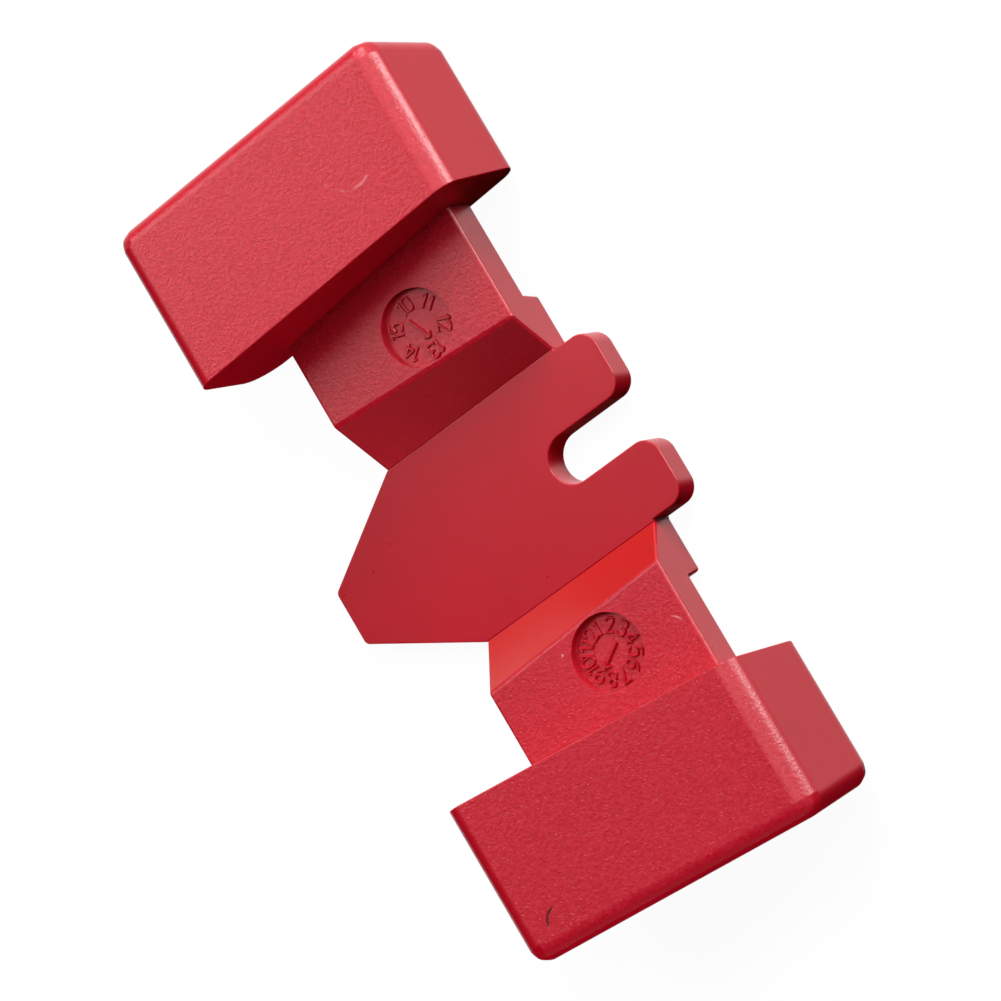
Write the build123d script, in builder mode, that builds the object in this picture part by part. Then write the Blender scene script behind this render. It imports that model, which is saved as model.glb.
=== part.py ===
from build123d import *
import os
from math import cos, radians, sin, tan

# A one-piece moulded gauge tip: a slotted centre plate with a raised arm and a thick grip
# at each end. X runs from the tail to the slotted fingers, Y from the month grip to the
# year grip, and Z up out of the plate, with the underside of the plate at Z = 0.
# All sizes are in millimetres and degrees.

# Centre plate
plate_thickness = 2.5
junction_y = 7.6            # where each arm starts to rise from the plate
tail_reach = 9.05           # tail tip beyond the arms' edge
tail_tip_width = 4.5
tail_corner_radius = 0.5
finger_reach = 3.35         # finger ends beyond the arms' edge
finger_inset = 0.2          # fingers' outer edges inside the junction line
finger_corner_radius = 1.5
slot_width = 3.9
slot_depth = 8.6            # finger ends to the bottom of the slot's round end

# Arms
step_run = 4.8              # foot layer under each arm, from the junction to its end
step_draft = 7.0
arm_width = 17.25
arm_rise = 3.4              # arm top above the plate top, at the middle of its width
arm_top_tilt = 3.4          # arm top falls towards the fingers
arm_thickness = 3.35        # at the edge on the fingers' side
arm_bottom_tilt = 7.0
slope_angle = 43.5

# Date stamps sunk into the arm tops
dial_radius = 3.0
dial_depth = 0.65
dial_x = 1.45
dial_clearance = 0.08       # rim of the stamp to the top edge of the slope, along its middle
mark_height = 0.12
digit_height = 1.1
digit_spacing = 0.62        # between the two digits of one number
stroke_width = 0.14
number_margin = 0.3         # tops of the numbers to the rim of the stamp
arrow_margin = 0.6          # ends of the arrow to the feet of the numbers
arrow_width = 0.8
first_month_angle = 90.0
first_year_angle = 98.0
month_arrow_angle = -150.0
year_arrow_angle = -65.0

# Grips
grip_inner_y = 19.6         # inner face, at the middle of the arms' width
grip_depth = 11.85          # inner to outer face, at the height of the plate top
grip_inner_splay = 4.9      # both faces open towards the fingers' side
grip_outer_splay = 5.6
grip_outer_draft = 9.45     # outer face leans out towards the top
grip_top_height = 9.35      # above the plate top, at the middle of the arms' width
grip_thickness = 9.25
grip_top_tilt = 8.5
grip_bottom_tilt = 7.8
grip_tail_overhang = 4.25   # beyond the arms' edges
grip_finger_overhang = 4.4
grip_tail_draft = 1.4
grip_finger_draft = 8.7
grip_edge_radius = 1.35
grip_thumb_radius = 1.95    # along the top edge on the fingers' side
grip_heel_radius = 3.4      # the large rounding low on the tail side

# Worked out from the sizes above
half_width = arm_width / 2
plate_top = plate_thickness
step_y = junction_y + step_run
arm_top = plate_top + arm_rise
slope_run = arm_rise / tan(radians(slope_angle))
dial_y = junction_y + slope_run + dial_clearance + dial_radius
number_radius = dial_radius - number_margin - digit_height / 2
arrow_length = 2 * (number_radius - digit_height / 2 - arrow_margin)
grip_outer_y = grip_inner_y + grip_depth
beyond = 3 * (grip_outer_y + grip_depth)    # longer than anything it cuts


def side_plane(origin, normal, side):
    """A plane for the year side (side 1) or its mirror image for the month side (side -1)."""
    return Plane(
        origin=(origin[0], side * origin[1], origin[2]),
        x_dir=(0, 0, 1) if abs(normal[2]) < 0.9 else (0, 1, 0),
        z_dir=(normal[0], side * normal[1], normal[2]),
    )


def step_end(side):
    """The drafted end of the foot layer under an arm, facing outwards."""
    lean = radians(step_draft)
    return side_plane((0, step_y, plate_top), (0, cos(lean), -sin(lean)), side)


def inner_face(side):
    """The inner face of a grip, facing the centre plate."""
    splay = radians(grip_inner_splay)
    return side_plane((0, grip_inner_y, plate_top), (sin(splay), -cos(splay), 0), side)


def outer_face(side):
    """The outer face of a grip."""
    run = tan(radians(grip_outer_splay))
    lean = tan(radians(grip_outer_draft))
    return side_plane((0, grip_outer_y, plate_top), (-run, 1, -lean), side)


def arm_top_face():
    """The top faces of both arms lie in one plane."""
    tilt = radians(arm_top_tilt)
    return Plane(origin=(0, 0, arm_top), x_dir=(cos(tilt), 0, -sin(tilt)), z_dir=(sin(tilt), 0, cos(tilt)))


def dial_floor(side):
    """The floor of a date stamp, with its X along the arm's width."""
    tilt = radians(arm_top_tilt)
    rim = Vector(dial_x, side * dial_y, arm_top - dial_x * tan(tilt))
    normal = Vector(sin(tilt), 0, cos(tilt))
    return Plane(origin=rim - normal * dial_depth, x_dir=(cos(tilt), 0, -sin(tilt)), z_dir=normal)


# Centre plate: tail, two fingers and slot
tail_x = -half_width - tail_reach
finger_x = half_width + finger_reach
finger_y = junction_y - finger_inset
slot_root_x = finger_x - slot_depth + slot_width / 2

with BuildPart() as stop_plate:
    with BuildSketch(Plane.XY) as plate_outline:
        with BuildLine():
            Polyline(
                (tail_x, tail_tip_width / 2),
                (-half_width, junction_y),
                (half_width, junction_y),
                (half_width, finger_y),
                (finger_x, finger_y),
            )
            mirror(about=Plane.XZ)
            Line((tail_x, -tail_tip_width / 2), (tail_x, tail_tip_width / 2))
            Line((finger_x, -finger_y), (finger_x, finger_y))
        make_face()
        with Locations((slot_root_x, 0)):
            Circle(slot_width / 2, mode=Mode.SUBTRACT)
        with Locations((slot_root_x, 0)):
            Rectangle(slot_depth, slot_width, align=(Align.MIN, Align.CENTER), mode=Mode.SUBTRACT)
        fillet(plate_outline.vertices().group_by(Axis.X)[-1], finger_corner_radius)
        fillet(plate_outline.vertices().group_by(Axis.X)[0], tail_corner_radius)
    extrude(amount=plate_thickness)
stop_plate.part.label = "stop_plate"


def build_arm(side, name):
    """One arm: a foot level with the plate, a sloped rise, a tilted top and the round recess of its stamp."""
    foot_y = side * junction_y
    head_y = side * (junction_y + 2 * slope_run)
    head_z = plate_top + 2 * arm_rise
    far_y = side * (grip_inner_y + grip_depth)
    under_fingers = arm_top - half_width * tan(radians(arm_top_tilt)) - arm_thickness
    under_tail = under_fingers + arm_width * tan(radians(arm_bottom_tilt))
    with BuildPart() as relief:
        with BuildSketch(Plane.XZ):
            with BuildLine():
                Polyline(
                    (-half_width, -plate_thickness),
                    (half_width, -plate_thickness),
                    (half_width, under_fingers),
                    (-half_width, under_tail),
                    close=True,
                )
            make_face()
        extrude(amount=-side * beyond)
        split(bisect_by=step_end(side), keep=Keep.TOP)
    with BuildPart() as arm:
        with BuildSketch(Plane.YZ.offset(-half_width)):
            with BuildLine():
                Polyline(
                    (foot_y, 0),
                    (foot_y, plate_top),
                    (head_y, head_z),
                    (far_y, head_z),
                    (far_y, 0),
                    close=True,
                )
            make_face()
        extrude(amount=arm_width)
        split(bisect_by=arm_top_face(), keep=Keep.BOTTOM)
        split(bisect_by=inner_face(side), keep=Keep.TOP)
        add(relief.part, mode=Mode.SUBTRACT)
        with BuildSketch(dial_floor(side)):
            Circle(dial_radius)
        extrude(amount=2 * dial_depth, mode=Mode.SUBTRACT)
    arm.part.label = name
    return arm.part


def build_grip(side, name):
    """One grip: a leaning block, sharp round its inner face and rounded everywhere else."""
    top_fall = tan(radians(grip_top_tilt))
    bottom_fall = tan(radians(grip_bottom_tilt))
    tail_lean = tan(radians(grip_tail_draft))
    finger_lean = tan(radians(grip_finger_draft))
    tail_side = -half_width - grip_tail_overhang
    finger_side = half_width + grip_finger_overhang
    top_z = plate_top + grip_top_height
    bottom_z = top_z - grip_thickness

    def corner(side_x, lean, middle_z, fall):
        """Where a side that leans with height meets a top or bottom that falls along X."""
        x = (side_x - lean * (middle_z - plate_top)) / (1 - lean * fall)
        return x, middle_z - fall * x

    with BuildPart() as grip:
        with BuildSketch(Plane.XZ):
            with BuildLine():
                Polyline(
                    corner(tail_side, tail_lean, bottom_z, bottom_fall),
                    corner(finger_side, finger_lean, bottom_z, bottom_fall),
                    corner(finger_side, finger_lean, top_z, top_fall),
                    corner(tail_side, tail_lean, top_z, top_fall),
                    close=True,
                )
            make_face()
        extrude(amount=-side * beyond)
        split(bisect_by=inner_face(side), keep=Keep.BOTTOM)
        split(bisect_by=outer_face(side), keep=Keep.BOTTOM)
        fillet(grip.edges().filter_by(Axis.Y).sort_by(Axis.X)[:2].sort_by(Axis.Z)[0], grip_heel_radius)
        fillet(grip.edges().filter_by(Axis.Y).sort_by(Axis.X)[-2:].sort_by(Axis.Z)[-1], grip_thumb_radius)
        long_edges = grip.edges().filter_by(Axis.Y)
        outer = grip.faces().sort_by(Axis.Y)[-1 if side > 0 else 0]
        rounded = long_edges.sort_by(Axis.X)[-1:] + long_edges.sort_by(Axis.Z)[-1:] + outer.edges()
        fillet(rounded, grip_edge_radius)
    grip.part.label = name
    return grip.part


def mark_strokes(character):
    """The corner points of each stroke of a digit or the arrow, in a box one unit high."""
    loop = [(-0.12, 0.5), (0.12, 0.5), (0.28, 0.3), (0.28, -0.3), (0.12, -0.5), (-0.12, -0.5), (-0.28, -0.3)]
    six = [(0.2, 0.5), (-0.05, 0.4), (-0.28, 0.0), (-0.28, -0.3), (-0.12, -0.5), (0.12, -0.5)]
    six += [(0.28, -0.3), (0.28, -0.15), (0.12, 0.05), (-0.12, 0.05), (-0.28, -0.15)]
    strokes = {
        "0": [loop + [(-0.28, 0.3), (-0.12, 0.5)]],
        "1": [[(-0.2, 0.28), (0.02, 0.5), (0.02, -0.5)]],
        "2": [[(-0.28, 0.3), (-0.12, 0.5), (0.12, 0.5), (0.28, 0.3), (0.26, 0.1), (-0.28, -0.5), (0.3, -0.5)]],
        "3": [
            [(-0.28, 0.4), (-0.1, 0.5), (0.12, 0.5), (0.27, 0.32), (0.24, 0.12), (0.06, 0.02)],
            [(0.06, 0.02), (0.26, -0.1), (0.28, -0.32), (0.12, -0.5), (-0.1, -0.5), (-0.28, -0.4)],
        ],
        "4": [[(0.14, -0.5), (0.14, 0.5), (-0.3, -0.2), (0.3, -0.2)]],
        "5": [
            [(0.25, 0.5), (-0.22, 0.5), (-0.27, 0.06), (0.1, 0.12)],
            [(0.1, 0.12), (0.28, -0.08), (0.28, -0.32), (0.1, -0.5), (-0.28, -0.42)],
        ],
        "6": [six],
        "7": [[(-0.28, 0.5), (0.28, 0.5), (-0.06, -0.5)]],
        "8": [
            [(-0.1, 0.5), (0.1, 0.5), (0.22, 0.36), (0.2, 0.14), (0, 0.04), (-0.2, 0.14), (-0.22, 0.36), (-0.1, 0.5)],
            [(0, 0.04), (0.28, -0.12), (0.28, -0.34), (0.12, -0.5), (-0.12, -0.5), (-0.28, -0.34), (-0.28, -0.12)],
            [(-0.28, -0.12), (0, 0.04)],
        ],
        "9": [[(-x, -y) for x, y in six]],
    }
    return strokes[character]


def draw_strokes(strokes, scale, middle_x):
    """Adds round-ended strokes to the sketch that is being made."""
    for stroke in strokes:
        for start, end in zip(stroke, stroke[1:]):
            middle = ((start[0] + end[0]) / 2 * scale + middle_x, (start[1] + end[1]) / 2 * scale)
            tip = (end[0] * scale + middle_x, end[1] * scale)
            SlotCenterPoint(middle, tip, stroke_width)


def build_marks(side, numbers, first_angle, arrow_angle, name):
    """Raised numbers in a ring, their tops outwards, round a raised arrow."""
    step_angle = 360 / len(numbers)
    with BuildPart() as marks:
        with BuildSketch(dial_floor(side)):
            for index, number in enumerate(numbers):
                angle = first_angle - index * step_angle
                place = Location(
                    (number_radius * cos(radians(angle)), number_radius * sin(radians(angle)), 0),
                    (0, 0, angle - 90),
                )
                with Locations(place):
                    for position, digit in enumerate(number):
                        middle_x = (position - (len(number) - 1) / 2) * digit_spacing
                        draw_strokes(mark_strokes(digit), digit_height, middle_x)
            with Locations(Location((0, 0, 0), (0, 0, arrow_angle - 90))):
                tip = (0, arrow_length / 2)
                barb_y = (arrow_length - arrow_width) / 2
                barbs = [(-arrow_width / 2, barb_y), tip, (arrow_width / 2, barb_y)]
                draw_strokes([[(0, -arrow_length / 2), tip], barbs], 1, 0)
        extrude(amount=mark_height)
    marks.part.label = name
    return marks.part


months = [str(month) for month in range(1, 13)]
years = [str(year) for year in range(10, 16)]
year_arm = build_arm(1, "year_arm")
month_arm = build_arm(-1, "month_arm")
year_grip = build_grip(1, "year_grip")
month_grip = build_grip(-1, "month_grip")
year_marks = build_marks(1, years, first_year_angle, year_arrow_angle, "year_dial_marks")
month_marks = build_marks(-1, months, first_month_angle, month_arrow_angle, "month_dial_marks")

os.makedirs("parts", exist_ok=True)
for piece in (stop_plate.part, year_arm, month_arm, year_grip, month_grip, year_marks, month_marks):
    export_step(piece, f"parts/{piece.label}.step")
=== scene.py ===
import math
import bmesh
import bpy
from mathutils import Matrix, Vector


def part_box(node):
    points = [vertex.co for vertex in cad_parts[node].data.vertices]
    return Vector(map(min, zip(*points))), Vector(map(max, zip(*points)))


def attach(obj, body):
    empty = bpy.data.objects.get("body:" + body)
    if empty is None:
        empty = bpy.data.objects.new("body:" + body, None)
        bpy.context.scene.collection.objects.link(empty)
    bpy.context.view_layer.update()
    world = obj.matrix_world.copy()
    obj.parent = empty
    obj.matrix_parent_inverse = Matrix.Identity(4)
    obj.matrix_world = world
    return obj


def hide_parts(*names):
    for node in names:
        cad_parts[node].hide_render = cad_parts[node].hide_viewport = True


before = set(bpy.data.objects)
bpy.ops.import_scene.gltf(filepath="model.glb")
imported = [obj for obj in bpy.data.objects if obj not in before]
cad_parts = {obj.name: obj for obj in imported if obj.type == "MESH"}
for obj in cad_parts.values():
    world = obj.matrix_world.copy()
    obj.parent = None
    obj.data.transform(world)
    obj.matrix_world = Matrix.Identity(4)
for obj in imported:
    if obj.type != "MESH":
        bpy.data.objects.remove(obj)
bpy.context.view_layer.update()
bpy.ops.object.select_all(action="DESELECT")
print("frame loaded")

# Shapes are modelled in millimetres, and each piece is brought to metres when it is finished.
perMetre = 1000.0
cutTolerance = 1e-5
weldDistance = 1e-4      # points nearer to each other than this are joined
touchDistance = 1e-3     # a point nearer to a face than this lies on it
squarely = 0.9           # least part of a normal along X for a face that looks that way
sameWay = 0.985          # least cosine between two directions that count as one
sameFace = 0.999         # least cosine between a face and the plane it lies in
flatAngle = 0.4          # degrees: faces that meet at less are joined
cornerAngle = 25         # degrees: edges that turn by more can be broken
smoothAngle = 35         # degrees: edges that turn by less are shaded smooth


def nodeBox(node):
    low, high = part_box(node)
    return low * perMetre, high * perMetre


plateLow, plateHigh = nodeBox("stop_plate")
plateTop = plateHigh.z
junction = plateHigh.y      # where each arm starts to rise from the plate
halfWidth = nodeBox("year_arm")[1].x


def leaning(x, y, z):
    return Vector((x, y, z)).normalized()


def tanOf(degrees):
    return math.tan(math.radians(degrees))


def sinCos(degrees):
    return math.sin(math.radians(degrees)), math.cos(math.radians(degrees))


# modelling steps that the pieces share

def choose(piece):
    bpy.ops.object.select_all(action="DESELECT")
    piece.select_set(True)
    bpy.context.view_layer.objects.active = piece


def startBlock(name, low, high):
    middle = (Vector(low) + Vector(high)) / 2
    bpy.ops.object.select_all(action="DESELECT")
    bpy.ops.mesh.primitive_cube_add(size=1, location=middle, scale=Vector(high) - Vector(low))
    piece = bpy.context.active_object
    piece.name = name
    bpy.ops.object.transform_apply(location=True, rotation=True, scale=True)
    return piece


def cutAcross(piece, point, normal, clear=True):
    # clears what lies past the plane and closes the cut, or only marks a line round the piece
    choose(piece)
    bpy.ops.object.mode_set(mode="EDIT")
    bpy.ops.mesh.select_all(action="SELECT")
    bpy.ops.mesh.bisect(
        plane_co=point, plane_no=normal, use_fill=clear, clear_outer=clear, threshold=cutTolerance,
    )
    bpy.ops.object.mode_set(mode="OBJECT")


def editWhere(piece, kind, test):
    # opens the piece in edit mode with only the faces or edges selected that pass the test
    choose(piece)
    bpy.ops.object.mode_set(mode="EDIT")
    bpy.context.tool_settings.mesh_select_mode = (False, kind == "edges", kind == "faces")
    bpy.ops.mesh.select_all(action="DESELECT")
    mesh = bmesh.from_edit_mesh(piece.data)
    mesh.normal_update()
    for element in getattr(mesh, kind):
        if test(element):
            element.select_set(True)
    bmesh.update_edit_mesh(piece.data)


def isUpright(edge):
    run = (edge.verts[1].co - edge.verts[0].co).normalized()
    return abs(run.z) > sameWay


def middleOf(edge):
    return (edge.verts[0].co + edge.verts[1].co) / 2


def carve(piece, cutter):
    # takes the cutter's shape out of the piece
    choose(piece)
    cut = piece.modifiers.new("cut", "BOOLEAN")
    cut.operation = "DIFFERENCE"
    cut.solver = "EXACT"
    cut.object = cutter
    bpy.ops.object.modifier_apply(modifier="cut")
    bpy.data.objects.remove(cutter, do_unlink=True)


def joinFlats(piece):
    choose(piece)
    bpy.ops.object.mode_set(mode="EDIT")
    bpy.ops.mesh.select_all(action="SELECT")
    bpy.ops.mesh.remove_doubles(threshold=weldDistance)
    bpy.ops.mesh.dissolve_limited(angle_limit=math.radians(flatAngle))
    bpy.ops.object.mode_set(mode="OBJECT")


def isCorner(edge):
    return len(edge.link_faces) == 2 and edge.calc_face_angle() > math.radians(cornerAngle)


def breakEdges(piece, width, test, segments=3):
    # rounds the chosen sharp edges a little, as a polished mould leaves them
    editWhere(piece, "edges", lambda edge: isCorner(edge) and edge.is_convex and test(edge))
    bpy.ops.mesh.bevel(offset=width, segments=segments, profile=0.5, clamp_overlap=True)
    bpy.ops.object.mode_set(mode="OBJECT")


def mirrored(piece, name):
    # the month side is the year side's mirror image
    choose(piece)
    bpy.ops.object.duplicate()
    copy = bpy.context.active_object
    copy.name = name
    copy.scale = (1, -1, 1)
    bpy.ops.object.transform_apply(location=True, rotation=True, scale=True)
    bpy.ops.object.mode_set(mode="EDIT")
    bpy.ops.mesh.select_all(action="SELECT")
    bpy.ops.mesh.normals_make_consistent(inside=False)
    bpy.ops.object.mode_set(mode="OBJECT")
    return copy


def finishPiece(piece, material, slot, *nodes):
    # smooth shading that keeps the flats flat, then metres, material and place in the frame
    choose(piece)
    bpy.ops.object.shade_smooth_by_angle(angle=math.radians(smoothAngle))
    flats = piece.modifiers.new("flats", "WEIGHTED_NORMAL")
    flats.mode = "FACE_AREA"
    flats.weight = 100
    flats.keep_sharp = True
    bpy.ops.object.modifier_apply(modifier="flats")
    piece.scale = (1 / perMetre,) * 3
    bpy.ops.object.transform_apply(location=True, rotation=True, scale=True)
    piece.data.materials.clear()
    piece.data.materials.append(material)
    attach(piece, "root")
    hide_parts(*nodes)
    print("finished", piece.name, len(piece.data.polygons), "faces")


# shader maths

class Signal:
    # a socket that can be used in sums
    def __init__(self, paint, socket):
        self.paint = paint
        self.socket = socket

    def math(self, operation, *values):
        inputs = dict(enumerate(values))
        return self.paint.node("ShaderNodeMath", {"operation": operation}, inputs)

    def __add__(self, other):
        return self.math("ADD", self, other)

    def __sub__(self, other):
        return self.math("SUBTRACT", self, other)

    def __rsub__(self, other):
        return self.math("SUBTRACT", other, self)

    def __mul__(self, other):
        return self.math("MULTIPLY", self, other)

    def __abs__(self):
        return self.math("ABSOLUTE", self)

    __radd__ = __add__
    __rmul__ = __mul__

    def between(self, low, high):
        # 0 below the low value and 1 above the high one, with a smooth rise
        return self.paint.node(
            "ShaderNodeMapRange",
            {"interpolation_type": "SMOOTHSTEP", "clamp": True},
            {"Value": self, "From Min": low, "From Max": high},
        )


class Paint:
    # builds the nodes of a material or of a world
    def __init__(self, owner):
        owner.use_nodes = True
        self.owner = owner
        self.tree = owner.node_tree
        self.tree.nodes.clear()

    def node(self, kind, settings=None, inputs=None, output=0):
        made = self.tree.nodes.new(kind)
        for name, value in (settings or {}).items():
            setattr(made, name, value)
        for name, value in (inputs or {}).items():
            if isinstance(value, Signal):
                self.tree.links.new(value.socket, made.inputs[name])
            else:
                made.inputs[name].default_value = value
        return Signal(self, made.outputs[output]) if made.outputs else None

    def axes(self, vector):
        # a vector's three parts
        first = self.node("ShaderNodeSeparateXYZ", inputs={0: vector})
        return [Signal(self, part) for part in first.socket.node.outputs]

    def vectorMath(self, operation, first, second=None, output="Vector"):
        inputs = {0: first} if second is None else {0: first, 1: second}
        return self.node("ShaderNodeVectorMath", {"operation": operation}, inputs, output)

    def noise(self, place, scale, detail, roughness=0.5):
        inputs = {"Vector": place, "Scale": scale, "Detail": detail, "Roughness": roughness}
        return self.node("ShaderNodeTexNoise", inputs=inputs)

    def blend(self, factor, first, second):
        return self.node(
            "ShaderNodeMix",
            {"data_type": "RGBA"},
            {"Factor": factor, 6: first, 7: second},
            output=2,
        )


def fromSrgb(red, green, blue):
    def linear(value):
        share = value / 255
        return share / 12.92 if share <= 0.04045 else ((share + 0.055) / 1.055) ** 2.4
    return linear(red), linear(green), linear(blue), 1.0


# patterns are counted per metre, and the shares say how much each adds to the bump
plasticFinish = {
    "red": fromSrgb(198, 10, 36),
    "deepRed": fromSrgb(194, 8, 34),
    "paleRed": fromSrgb(210, 28, 52),
    # painted light: the warmer red given to the slope that faces the key softbox
    "paintedKeyLightRed": fromSrgb(198, 34, 33),
    "scuffed": fromSrgb(238, 168, 172),
    "shadowed": fromSrgb(60, 2, 6),
    "clouds": 140.0,
    "ripples": 480.0,
    "streaks": 900.0,
    "specks": 2600.0,
    "mottles": 3120.0,
    "grains": 5200.0,
    "grainDepth": 0.00003,
    "bumpStrength": 0.9,
    "grainShare": 0.55,
    "mottleShare": 0.55,
    "speckShare": 0.5,
    "rippleShare": 0.10,
    "paleSpecks": 0.07,
    "satinRoughness": 0.30,
    "grainRoughness": 0.36,
    "streakRoughness": 0.10,
    "slopeGrainLoss": 0.65,
    "translucency": 0.18,
    "translucentReach": (1.0, 0.12, 0.06),
    "translucentDepth": 0.0007,
}

# handling marks are arcs drawn on a face, in millimetres; middle is the way from the centre
# to the arc's middle and span is half its length, both in degrees; a radius of 0 is a dot
handlingMarks = {
    "scuff": {
        "centre": (5.83, 26.45, 0), "radius": 2.15, "middle": 247, "span": 53,
        "width": 0.16, "strength": 0.35,
    },
    # the nick is a real groove cut into the bump, and the dark red drawn along it is painted shade
    # in that groove
    "nick": {
        "centre": (-9.22, -29.93, 0), "radius": 1.07, "middle": 135.6, "span": 39,
        "width": 0.13, "strength": 0.9, "depth": 1.5,
    },
    "speck": {"centre": (-1.83, -12.5, 0), "radius": 0, "width": 0.17, "strength": 0.6},
    "scratch": {
        "centre": (6.9, -15.7, 0), "radius": 1.02, "middle": 40, "span": 18,
        "width": 0.12, "strength": 0.6,
    },
}


def markCover(paint, place, mark):
    # 1 on the line of the mark and 0 away from it
    flat = paint.vectorMath("MULTIPLY", place, (perMetre, perMetre, 0))
    reach = paint.vectorMath("SUBTRACT", flat, mark["centre"])
    away = paint.vectorMath("LENGTH", reach, output="Value")
    line = 1 - abs(away - mark["radius"]).between(mark["width"] * 0.3, mark["width"])
    if not mark["radius"]:
        return line
    sinMiddle, cosMiddle = sinCos(mark["middle"])
    along = paint.vectorMath("DOT_PRODUCT", reach, (cosMiddle, sinMiddle, 0), output="Value")
    arcEnd = mark["radius"] * sinCos(mark["span"])[1]
    return line * along.between(arcEnd - 0.1, arcEnd + 0.1)


def mouldedPlastic(name, etched=None):
    # etched is "grip" or "arm"; a polished piece has no grain
    finish = plasticFinish
    paint = Paint(bpy.data.materials.new(name))
    place = paint.node("ShaderNodeTexCoord", output="Object")
    clouds = paint.noise(place, finish["clouds"], 3.0)
    streaks = paint.noise(place, finish["streaks"], 2.0)
    height = paint.noise(place, finish["ripples"], 3.0) * finish["rippleShare"]
    rough = finish["satinRoughness"] + (streaks - 0.5) * finish["streakRoughness"]
    shade = paint.blend(clouds.between(0.35, 0.7), finish["red"], finish["deepRed"])
    if etched:
        grains = paint.noise(place, finish["grains"], 1.5)
        mottle = paint.noise(place, finish["mottles"], 1.0, 0.6)
        specks = 1 - paint.node(
            "ShaderNodeTexVoronoi",
            inputs={"Vector": place, "Scale": finish["specks"]},
            output="Distance",
        ).between(0.05, 0.25)
        # the grain lies on the faces that look up
        x, y, z = paint.axes(paint.node("ShaderNodeNewGeometry", output="Normal"))
        cover = z.between(0.42, 0.55)
        if etched == "grip":
            # it stops where the tail side and the outer side start to round over
            cover = cover * x.between(0.0, 0.08) * (1 - abs(y).between(0.3, 0.6))
        else:
            # it is lighter on the slope than on the flat top
            cover = cover * (1 - abs(y).between(0.2, 0.6) * finish["slopeGrainLoss"])
        etching = grains * finish["grainShare"] + mottle * finish["mottleShare"]
        etching = etching + specks * finish["speckShare"]
        height = height + etching * cover
        rough = rough + cover * (finish["grainRoughness"] - finish["satinRoughness"])
        shade = paint.blend(mottle.between(0.3, 0.7) * cover, shade, finish["paleRed"])
        shade = paint.blend(specks * cover * finish["paleSpecks"], shade, finish["scuffed"])
    if etched == "grip":
        scuff, nick = handlingMarks["scuff"], handlingMarks["nick"]
        worn = markCover(paint, place, scuff) * streaks.between(0.42, 0.62)
        nickGrooveAndPaintedShade = markCover(paint, place, nick)
        shade = paint.blend(worn * scuff["strength"], shade, finish["scuffed"])
        # painted shade: the nick's line is darkened towards the shadowed red, standing for shade
        # in its groove
        shade = paint.blend(nickGrooveAndPaintedShade * nick["strength"], shade, finish["shadowed"])
        height = height - nickGrooveAndPaintedShade * nick["depth"]
    elif etched == "arm":
        # painted light: the slope that looks towards the key softbox gets a warmer, brighter red
        # base colour, painted in to stand for the key light falling on it
        paintedKeyLight = y.between(0.35, 0.6) * cover.between(0.1, 0.3)
        shade = paint.blend(paintedKeyLight, shade, finish["paintedKeyLightRed"])
        for mark in (handlingMarks["speck"], handlingMarks["scratch"]):
            worn = markCover(paint, place, mark) * mark["strength"]
            shade = paint.blend(worn, shade, finish["scuffed"])
    bump = paint.node(
        "ShaderNodeBump",
        inputs={
            "Strength": finish["bumpStrength"],
            "Distance": finish["grainDepth"],
            "Height": height,
        },
    )
    shader = paint.node(
        "ShaderNodeBsdfPrincipled",
        inputs={
            "Base Color": shade,
            "Roughness": rough,
            "Normal": bump,
            "IOR": 1.5,
            "Specular IOR Level": 0.5,
            "Subsurface Weight": finish["translucency"],
            "Subsurface Radius": finish["translucentReach"],
            "Subsurface Scale": finish["translucentDepth"],
        },
    )
    paint.node("ShaderNodeOutputMaterial", inputs={"Surface": shader})
    return paint.owner


# camera, light and floor

# aim, distance and lens are in millimetres and the angles are in degrees
cameraView = {
    "aim": (-1.556, 0.563, 2.515),
    "distance": 583.564,
    "azimuth": -23.447,
    "elevation": 60.451,
    "roll": -99.764,
    "lens": 280.698,
    "sensorWidth": 36,
    "nearestSeen": 0.01,     # metres
    "farthestSeen": 10,      # metres
}

# azimuth is from +X towards +Y, in degrees; sizes and distances are in metres, power in watts
softboxes = {
    "keySoftbox": {
        "azimuth": 60, "elevation": 25, "distance": 0.5, "size": (0.24, 0.2), "power": 1.45,
    },
    "upperSoftbox": {
        "azimuth": 32, "elevation": 55, "distance": 0.5, "size": (0.42, 0.42), "power": 1.2,
    },
    "backSoftbox": {
        "azimuth": 120, "elevation": 55, "distance": 0.5, "size": (0.22, 0.22), "power": 0.8,
    },
    "sideSoftbox": {
        "azimuth": 15, "elevation": 9, "distance": 0.42, "size": (0.12, 0.12), "power": 0.65,
    },
    "glintSoftbox": {
        "azimuth": 16, "elevation": 9, "distance": 0.42, "size": (0.1, 0.1), "power": 0.75,
        "lights": "shine",
    },
    "fillSoftbox": {
        "azimuth": -112, "elevation": 4, "distance": 0.15, "size": (0.1, 0.016), "power": 0.10,
        "lights": "body",
    },
}

floorLook = {
    "radius": 3,     # metres
    "corners": 96,
    "colour": (0.08, 0.08, 0.08, 1),
    "roughness": 0.9,
    "shine": 0.1,
    "glow": 0.95,
}

# what the part's shine reflects: a pale ground on the lit side, a window low down beyond it,
# and a dim glow above the horizon on the far side
roomGlow = {"ground": 1.05, "window": 0.9, "farSide": 0.3}


def wayFrom(view):
    # from the part towards a place given by its azimuth and elevation
    sinAzimuth, cosAzimuth = sinCos(view["azimuth"])
    sinElevation, cosElevation = sinCos(view["elevation"])
    return Vector((cosElevation * cosAzimuth, cosElevation * sinAzimuth, sinElevation))


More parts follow.
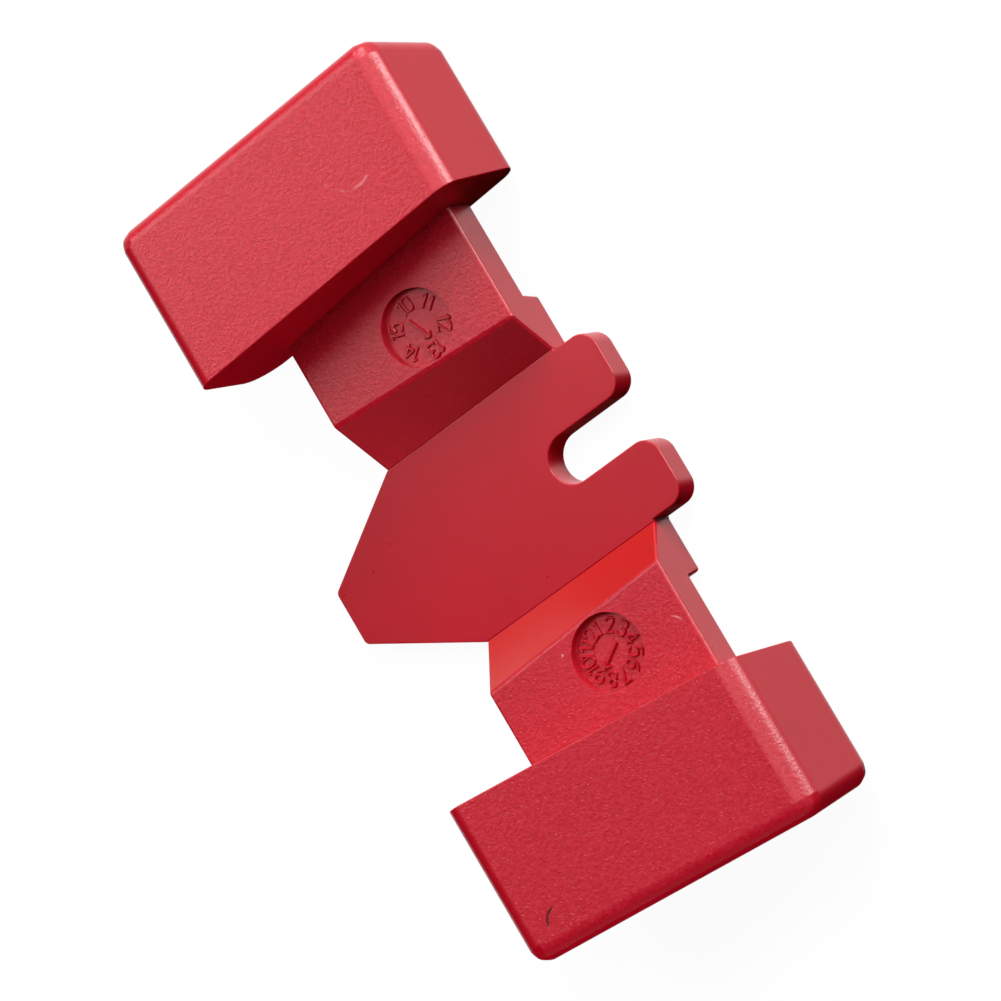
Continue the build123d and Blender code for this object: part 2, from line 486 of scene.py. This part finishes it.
def placeCamera():
    view = cameraView
    back = wayFrom(view)
    place = (Vector(view["aim"]) + back * view["distance"]) / perMetre
    roll = Matrix.Rotation(math.radians(view["roll"]), 3, "Z")
    turn = (-back).to_track_quat("-Z", "Y").to_matrix() @ roll
    bpy.ops.object.camera_add(location=place, rotation=turn.to_euler())
    camera = bpy.context.active_object
    camera.data.lens = view["lens"]
    camera.data.sensor_width = view["sensorWidth"]
    camera.data.clip_start = view["nearestSeen"]
    camera.data.clip_end = view["farthestSeen"]
    bpy.context.scene.camera = camera


def placeLights():
    for name, box in softboxes.items():
        side = wayFrom(box)
        bpy.ops.object.light_add(type="AREA", location=side * box["distance"])
        light = bpy.context.active_object
        light.name = name
        light.rotation_euler = (-side).to_track_quat("-Z", "Y").to_euler()
        light.data.shape = "RECTANGLE"
        light.data.size, light.data.size_y = box["size"]
        light.data.energy = box["power"]
        # one box only adds shine and one only adds body colour
        light.visible_diffuse = box.get("lights") != "shine"
        light.visible_glossy = box.get("lights") != "body"


def placeStage():
    look = floorLook
    bpy.ops.mesh.primitive_circle_add(
        vertices=look["corners"], radius=look["radius"], fill_type="NGON", location=(0, 0, 0),
    )
    floor = bpy.context.active_object
    floor.name = "paleFloor"
    paint = Paint(bpy.data.materials.new("paleFloor"))
    shader = paint.node(
        "ShaderNodeBsdfPrincipled",
        inputs={
            "Base Color": look["colour"],
            "Roughness": look["roughness"],
            "Specular IOR Level": look["shine"],
            "Emission Color": (1, 1, 1, 1),
            "Emission Strength": look["glow"],
        },
    )
    paint.node("ShaderNodeOutputMaterial", inputs={"Surface": shader})
    floor.data.materials.append(paint.owner)
    # the glow keeps the floor pale; it neither lights the part from below nor shows in its shine
    floor.visible_diffuse = False
    floor.visible_glossy = False
    floor.visible_shadow = False


def placeWorld():
    glow = roomGlow
    world = bpy.data.worlds.new("paleRoom")
    bpy.context.scene.world = world
    paint = Paint(world)
    x, y, z = paint.axes(paint.node("ShaderNodeTexCoord", output="Generated"))
    ground = (1 - z.between(-0.3, 0.0)) * y.between(-0.12, 0.12)
    farSide = z.between(-0.1, 0.1) * (1 - y.between(-0.9, -0.5))
    window = y.between(0.35, 0.75) * z.between(-0.4, -0.1) * (1 - z.between(0.15, 0.4))
    strength = ground * glow["ground"] + farSide * glow["farSide"] + window * glow["window"]
    background = paint.node(
        "ShaderNodeBackground",
        inputs={"Color": (1, 1, 1, 1), "Strength": strength},
    )
    paint.node("ShaderNodeOutputWorld", inputs={"Surface": background})
    world.cycles_visibility.diffuse = False


placeCamera()
placeStage()
placeWorld()
placeLights()
bpy.context.scene.view_settings.view_transform = "Standard"
print("camera, light and floor placed")


# centre plate

plateShape = {
    "tailTipWidth": 4.5,
    "tailTipRun": 0.285,
    "tailTipSegments": 6,
    "fingerInset": 0.2,
    "fingerCorner": 1.5,
    "fingerSegments": 14,
    "slotWidth": 3.9,
    "slotDepth": 8.6,
    "slotSides": 96,
    "edge": 0.12,
}


def buildStopPlate():
    shape = plateShape
    fingerY = junction - shape["fingerInset"]
    tailX, fingerX = plateLow.x, plateHigh.x
    low = (-halfWidth, plateLow.y, plateLow.z)
    high = (halfWidth, plateHigh.y, plateHigh.z)
    plate = startBlock("stopPlate", low, high)
    for side in (1, -1):
        cutAcross(plate, (0, side * fingerY, 0), (0, 1, 0), clear=False)

    # the tail is drawn out of the plate's side and narrowed
    editWhere(plate, "faces", lambda face: face.normal.x < -squarely)
    tailReach = {"value": (tailX + halfWidth, 0, 0)}
    bpy.ops.mesh.extrude_region_move(TRANSFORM_OT_translate=tailReach)
    bpy.ops.transform.resize(
        value=(1, shape["tailTipWidth"] / 2 / junction, 1),
        center_override=(tailX, 0, 0),
    )
    bpy.ops.object.mode_set(mode="OBJECT")

    # the fingers are drawn out of the other side
    def isFingerRoot(face):
        return face.normal.x > squarely and abs(face.calc_center_median().y) < fingerY

    editWhere(plate, "faces", isFingerRoot)
    fingerReach = {"value": (fingerX - halfWidth, 0, 0)}
    bpy.ops.mesh.extrude_region_move(TRANSFORM_OT_translate=fingerReach)
    bpy.ops.object.mode_set(mode="OBJECT")
    joinFlats(plate)
    carve(plate, slotCutter(fingerX))
    joinFlats(plate)

    roundUprights(
        plate, lambda edge: middleOf(edge).x > fingerX - 0.01,
        shape["fingerCorner"], shape["fingerSegments"],
    )
    roundUprights(
        plate, lambda edge: middleOf(edge).x < tailX + 0.01,
        shape["tailTipRun"], shape["tailTipSegments"],
    )
    breakEdges(plate, shape["edge"], lambda edge: True)
    return plate


def roundUprights(plate, test, run, segments):
    editWhere(plate, "edges", lambda edge: isUpright(edge) and test(edge))
    bpy.ops.mesh.bevel(offset=run, segments=segments, profile=0.5, clamp_overlap=False)
    bpy.ops.object.mode_set(mode="OBJECT")


def slotCutter(fingerX):
    shape = plateShape
    radius = shape["slotWidth"] / 2
    rootX = fingerX - shape["slotDepth"] + radius
    bpy.ops.mesh.primitive_cylinder_add(
        vertices=shape["slotSides"], radius=radius, depth=4 * plateTop, location=(rootX, 0, 0),
    )
    cutter = bpy.context.active_object
    bpy.ops.object.transform_apply(location=True, rotation=True, scale=True)
    # the half of the round that faces the slot's mouth is drawn out past it
    choose(cutter)
    bpy.ops.object.mode_set(mode="EDIT")
    bpy.context.tool_settings.mesh_select_mode = (True, False, False)
    mesh = bmesh.from_edit_mesh(cutter.data)
    for vertex in mesh.verts:
        vertex.select_set(vertex.co.x > rootX + weldDistance)
    bmesh.update_edit_mesh(cutter.data)
    bpy.ops.transform.translate(value=(2 * shape["slotDepth"], 0, 0))
    bpy.ops.object.mode_set(mode="OBJECT")
    return cutter


stopPlate = buildStopPlate()
print("centre plate modelled")


# arms

armShape = {
    "footRun": 4.8,
    "footDraft": 7.0,
    "rise": 3.4,
    "topTilt": 3.4,
    "thickness": 3.35,
    "bottomTilt": 7.0,
    "slope": 43.5,
    "headroom": 3,       # spare height that the top's cut clears
    "edge": 0.25,
    "edgeSegments": 5,
}

stampShape = {
    "radius": 3.0,
    "depth": 0.65,
    "x": 1.45,
    "clearance": 0.08,   # from the top of the slope to the rim
    "sides": 128,
    "cutterDepth": 4.0,
    "edge": 0.07,
    "edgeSegments": 2,
    "rimMargin": 0.05,   # an edge this far past the rim still belongs to it
}

gripShape = {
    "innerY": 19.6,
    "depth": 11.85,
    "innerSplay": 4.9,
    "outerSplay": 5.6,
    "outerDraft": 9.45,
    "topHeight": 9.35,
    "thickness": 9.25,
    "topTilt": 8.5,
    "bottomTilt": 7.8,
    "tailOverhang": 4.25,
    "fingerOverhang": 4.4,
    "tailDraft": 1.4,
    "fingerDraft": 8.7,
    "round": 1.35,
    "thumbRound": 1.95,
    "roundSegments": 14,
    "heel": 3.4,
    "heelSegments": 18,
    "shallow": 30,       # edges that turn by fewer degrees are rounded on the outer side only
    "edge": 0.1,
}

armTop = plateTop + armShape["rise"]
sinTop, cosTop = sinCos(armShape["topTilt"])
armTopNormal = Vector((sinTop, 0, cosTop))
sinSplay, cosSplay = sinCos(gripShape["innerSplay"])
innerPoint = Vector((0, gripShape["innerY"], plateTop))
innerNormal = Vector((sinSplay, -cosSplay, 0))
slopeRun = armShape["rise"] / tanOf(armShape["slope"])
stampY = junction + slopeRun + stampShape["clearance"] + stampShape["radius"]
stampHeight = armTop - stampShape["x"] * tanOf(armShape["topTilt"])
stampRim = Vector((stampShape["x"], stampY, stampHeight))


def buildYearArm():
    shape = armShape
    far = gripShape["innerY"] + gripShape["depth"]
    high = (halfWidth, far, armTop + shape["headroom"])
    arm = startBlock("yearArm", (-halfWidth, junction, 0), high)
    sinSlope, cosSlope = sinCos(shape["slope"])
    cutAcross(arm, (0, junction, plateTop), (0, -sinSlope, cosSlope))
    cutAcross(arm, (0, 0, armTop), armTopNormal)
    cutAcross(arm, innerPoint, -innerNormal)
    carve(arm, undersideCutter(far))
    joinFlats(arm)

    def onButt(edge):
        # edges that lie against the plate or the grip stay sharp
        ends = [vertex.co for vertex in edge.verts]
        onGrip = all(abs((end - innerPoint).dot(innerNormal)) < touchDistance for end in ends)
        onPlate = all(end.y < junction + touchDistance for end in ends)
        return onGrip or onPlate

    def onStamp(edge):
        reach = middleOf(edge) - stampRim
        acrossFace = reach - armTopNormal * reach.dot(armTopNormal)
        return acrossFace.length < stampShape["radius"] + stampShape["rimMargin"]

    breakEdges(arm, shape["edge"], lambda edge: not onButt(edge), shape["edgeSegments"])
    carve(arm, stampCutter())
    breakEdges(arm, stampShape["edge"], onStamp, stampShape["edgeSegments"])
    return arm


def undersideCutter(far):
    # what is open under the arm, past its foot; the block starts well outside the arm
    shape = armShape
    low = (-2 * halfWidth, 0, -1)
    cutter = startBlock("undersideCutter", low, (2 * halfWidth, 2 * far, armTop))
    sinDraft, cosDraft = sinCos(shape["footDraft"])
    cutAcross(cutter, (0, junction + shape["footRun"], plateTop), (0, -cosDraft, sinDraft))
    sinTilt, cosTilt = sinCos(shape["bottomTilt"])
    fingerEdge = armTop - halfWidth * tanOf(shape["topTilt"]) - shape["thickness"]
    cutAcross(cutter, (halfWidth, 0, fingerEdge), (sinTilt, 0, cosTilt))
    return cutter


def stampCutter():
    shape = stampShape
    middle = stampRim + armTopNormal * (shape["cutterDepth"] / 2 - shape["depth"])
    bpy.ops.mesh.primitive_cylinder_add(
        vertices=shape["sides"],
        radius=shape["radius"],
        depth=shape["cutterDepth"],
        location=middle,
        rotation=armTopNormal.to_track_quat("Z", "Y").to_euler(),
    )
    cutter = bpy.context.active_object
    bpy.ops.object.transform_apply(location=True, rotation=True, scale=True)
    return cutter


yearArm = buildYearArm()
monthArm = mirrored(yearArm, "monthArm")
print("arms modelled")


# grips

def buildYearGrip():
    shape = gripShape
    reach = 2 * (shape["innerY"] + shape["depth"])
    grip = startBlock("yearGrip", (-reach, 0, -reach), (reach, reach, reach))
    topZ = plateTop + shape["topHeight"]
    sinTopTilt, cosTopTilt = sinCos(shape["topTilt"])
    sinBottomTilt, cosBottomTilt = sinCos(shape["bottomTilt"])
    faces = {
        "inner": (innerPoint, innerNormal),
        "outer": (
            innerPoint + Vector((0, shape["depth"], 0)),
            leaning(-tanOf(shape["outerSplay"]), 1, -tanOf(shape["outerDraft"])),
        ),
        "top": ((0, 0, topZ), (sinTopTilt, 0, cosTopTilt)),
        "bottom": ((0, 0, topZ - shape["thickness"]), (-sinBottomTilt, 0, -cosBottomTilt)),
        "tail": (
            (-halfWidth - shape["tailOverhang"], 0, plateTop),
            leaning(-1, 0, -tanOf(shape["tailDraft"])),
        ),
        "finger": (
            (halfWidth + shape["fingerOverhang"], 0, plateTop),
            leaning(1, 0, tanOf(shape["fingerDraft"])),
        ),
    }
    for point, normal in faces.values():
        cutAcross(grip, point, normal)

    def touches(edge, name):
        wanted = Vector(faces[name][1])
        return any(face.normal.dot(wanted) > sameFace for face in edge.link_faces)

    def runFor(edge, radius):
        # how far the rounding reaches from the edge into each of its two faces
        return radius * math.tan(edge.calc_face_angle() / 2)

    def heelRun(edge):
        isHeel = touches(edge, "tail") and touches(edge, "bottom")
        return runFor(edge, shape["heel"]) if isHeel else 0

    def otherRun(edge):
        if edge.calc_face_angle() < math.radians(shape["shallow"]):
            return runFor(edge, shape["round"]) if touches(edge, "outer") else 0
        if touches(edge, "inner"):
            return 0
        isThumb = touches(edge, "top") and touches(edge, "finger")
        return runFor(edge, shape["thumbRound"] if isThumb else shape["round"])

    # the heel goes first, because the other roundings run along it
    roundEdges(grip, heelRun, shape["heelSegments"])
    roundEdges(grip, otherRun, shape["roundSegments"])
    breakEdges(grip, shape["edge"], lambda edge: touches(edge, "inner"))
    return grip


def roundEdges(piece, runOf, segments):
    # rounds each edge by its own run, which a bevel modifier reads as a weight
    choose(piece)
    mesh = bmesh.new()
    mesh.from_mesh(piece.data)
    mesh.normal_update()
    layers = mesh.edges.layers.float
    weights = layers.get("bevel_weight_edge") or layers.new("bevel_weight_edge")
    runs = {edge: runOf(edge) for edge in mesh.edges}
    widest = max(runs.values())
    for edge, run in runs.items():
        edge[weights] = run / widest
    mesh.to_mesh(piece.data)
    mesh.free()
    rounding = piece.modifiers.new("rounding", "BEVEL")
    rounding.limit_method = "WEIGHT"
    rounding.width = widest
    rounding.segments = segments
    rounding.profile = 0.5
    rounding.use_clamp_overlap = False
    bpy.ops.object.modifier_apply(modifier="rounding")
    leftover = piece.data.attributes.get("bevel_weight_edge")
    if leftover:
        piece.data.attributes.remove(leftover)


yearGrip = buildYearGrip()
monthGrip = mirrored(yearGrip, "monthGrip")
print("grips modelled")


# raised numbers and arrows in the stamps

markShape = {
    "digitHeight": 1.12,
    "digitSpacing": 0.6,
    "stroke": 0.22,
    "height": 0.19,
    "numberRadius": 2.02,
    "arrowStroke": 1.25,     # times the stroke of the digits
    "arrowWidth": 0.66,
    "ringRadius": 1.42,
    "ringStroke": 0.03,
}

# firstAngle is where the first number stands, and side is the arm: 1 towards +Y
stampMarks = {
    "yearDialMarks": {
        "numbers": range(10, 16),
        "firstAngle": 98,
        "arrowTail": (-0.52, 0.92),
        "arrowTip": (0.33, -1.02),
        "side": 1,
    },
    "monthDialMarks": {
        "numbers": range(1, 13),
        "firstAngle": 90,
        "arrowTail": (0.78, 0.38),
        "arrowTip": (-1.05, -0.74),
        "side": -1,
    },
}

# control points of each stroke, in a box one unit high; a stroke that ends in True is closed
digitStrokes = {
    "0": [[(-0.29, 0.5), (0.29, 0.5), (0.29, -0.5), (-0.29, -0.5), True]],
    "1": [[(-0.2, 0.28), (0.02, 0.5)], [(0.02, 0.5), (0.02, -0.5)]],
    "2": [
        [(-0.28, 0.22), (-0.28, 0.5), (0.28, 0.5), (0.28, 0.1), (-0.28, -0.5)],
        [(-0.28, -0.5), (0.3, -0.5)],
    ],
    "3": [
        [(-0.28, 0.36), (-0.2, 0.5), (0.27, 0.5), (0.27, 0.03), (-0.04, 0.03)],
        [(-0.04, 0.03), (0.3, 0.03), (0.3, -0.5), (-0.22, -0.5), (-0.29, -0.34)],
    ],
    "4": [[(0.12, -0.5), (0.12, 0.5)], [(0.12, 0.5), (-0.3, -0.2)], [(-0.3, -0.2), (0.3, -0.2)]],
    "5": [
        [(0.25, 0.5), (-0.2, 0.5)],
        [(-0.2, 0.5), (-0.25, 0.04)],
        [(-0.25, 0.04), (0.0, 0.2), (0.3, 0.1), (0.3, -0.5), (-0.2, -0.5), (-0.29, -0.36)],
    ],
    "6": [
        [
            (0.2, 0.5), (-0.28, 0.36), (-0.28, -0.5), (0.28, -0.5),
            (0.28, 0.1), (-0.12, 0.12), (-0.26, -0.14),
        ],
    ],
    "7": [[(-0.28, 0.5), (0.28, 0.5)], [(0.28, 0.5), (-0.08, -0.1), (-0.08, -0.5)]],
    "8": [
        [(-0.23, 0.5), (0.23, 0.5), (0.23, 0.04), (-0.23, 0.04), True],
        [(-0.29, 0.05), (0.29, 0.05), (0.29, -0.5), (-0.29, -0.5), True],
    ],
}
digitStrokes["9"] = [[(-x, -y) for x, y in stroke] for stroke in digitStrokes["6"]]


def drawStroke(drawing, points, closed=False, weight=1.0):
    spline = drawing.splines.new("NURBS")
    spline.points.add(len(points) - 1)
    for point, (x, y) in zip(spline.points, points):
        point.co = (x, y, 0, 1)
        point.radius = weight
    spline.use_cyclic_u = closed
    spline.use_endpoint_u = not closed
    spline.order_u = 3 if len(points) > 2 else 2
    spline.resolution_u = 6


def drawNumber(drawing, number, angle):
    # the digits stand on a circle round the stamp's middle, with their tops outwards
    shape = markShape
    turn = Matrix.Rotation(math.radians(angle - 90), 2)
    for position, digit in enumerate(number):
        shift = (position - (len(number) - 1) / 2) * shape["digitSpacing"]
        for stroke in digitStrokes[digit]:
            closed = stroke[-1] is True
            points = []
            for x, y in stroke[:-1] if closed else stroke:
                across = x * shape["digitHeight"] + shift
                outward = y * shape["digitHeight"] + shape["numberRadius"]
                points.append(turn @ Vector((across, outward)))
            drawStroke(drawing, points, closed)


def drawArrow(drawing, tail, tip):
    shape = markShape
    back = (tail - tip).normalized() * shape["arrowWidth"] / 2
    across = Vector((-back.y, back.x))
    for start in (tail, tip + back + across, tip + back - across):
        drawStroke(drawing, [start, tip], weight=shape["arrowStroke"])


def buildMarks(name):
    shape, marking = markShape, stampMarks[name]
    drawing = bpy.data.curves.new(name, "CURVE")
    drawing.dimensions = "3D"
    drawing.bevel_depth = shape["stroke"] / 2
    drawing.bevel_resolution = 3
    drawing.use_fill_caps = True
    step = 360 / len(marking["numbers"])
    for index, number in enumerate(marking["numbers"]):
        drawNumber(drawing, str(number), marking["firstAngle"] - index * step)
    drawArrow(drawing, Vector(marking["arrowTail"]), Vector(marking["arrowTip"]))
    marks = bpy.data.objects.new(name, drawing)
    bpy.context.collection.objects.link(marks)
    choose(marks)
    bpy.ops.object.convert(target="MESH")
    marks = bpy.context.active_object
    ringAround(marks)
    # the strokes' round section is drawn up to their height above the floor
    choose(marks)
    bpy.ops.object.mode_set(mode="EDIT")
    bpy.ops.mesh.select_all(action="SELECT")
    bpy.ops.mesh.remove_doubles(threshold=weldDistance)
    bpy.ops.transform.resize(
        value=(1, 1, shape["height"] / (shape["stroke"] / 2)),
        center_override=(0, 0, 0),
    )
    bpy.ops.mesh.normals_make_consistent(inside=False)
    bpy.ops.object.mode_set(mode="OBJECT")
    floorPoint = stampRim - armTopNormal * stampShape["depth"]
    marks.location = (floorPoint.x, marking["side"] * floorPoint.y, floorPoint.z)
    marks.rotation_euler = (0, math.radians(armShape["topTilt"]), 0)
    bpy.ops.object.transform_apply(location=True, rotation=True, scale=True)
    return marks


def ringAround(marks):
    # the fine line that the stamp's turning core leaves
    bpy.ops.mesh.primitive_torus_add(
        major_radius=markShape["ringRadius"],
        minor_radius=markShape["ringStroke"] / 2,
        major_segments=96,
        minor_segments=8,
        location=(0, 0, 0),
    )
    ring = bpy.context.active_object
    choose(marks)
    ring.select_set(True)
    bpy.ops.object.join()


yearMarks = buildMarks("yearDialMarks")
monthMarks = buildMarks("monthDialMarks")
print("dial marks modelled")


# finish

satinPlastic = mouldedPlastic("satinRedPlastic")
gripPlastic = mouldedPlastic("gripRedPlastic", "grip")
armPlastic = mouldedPlastic("armRedPlastic", "arm")
stampPlastic = mouldedPlastic("stampRedPlastic")

finishPiece(stopPlate, satinPlastic, "smooth_plastic", "stop_plate")
finishPiece(yearArm, armPlastic, "grained_plastic", "year_arm")
finishPiece(monthArm, armPlastic, "grained_plastic", "month_arm")
finishPiece(yearGrip, gripPlastic, "grained_plastic", "year_grip")
finishPiece(monthGrip, gripPlastic, "grained_plastic", "month_grip")
finishPiece(yearMarks, stampPlastic, "stamp_plastic", "year_dial_marks")
finishPiece(monthMarks, stampPlastic, "stamp_plastic", "month_dial_marks")

print("pieces finished")
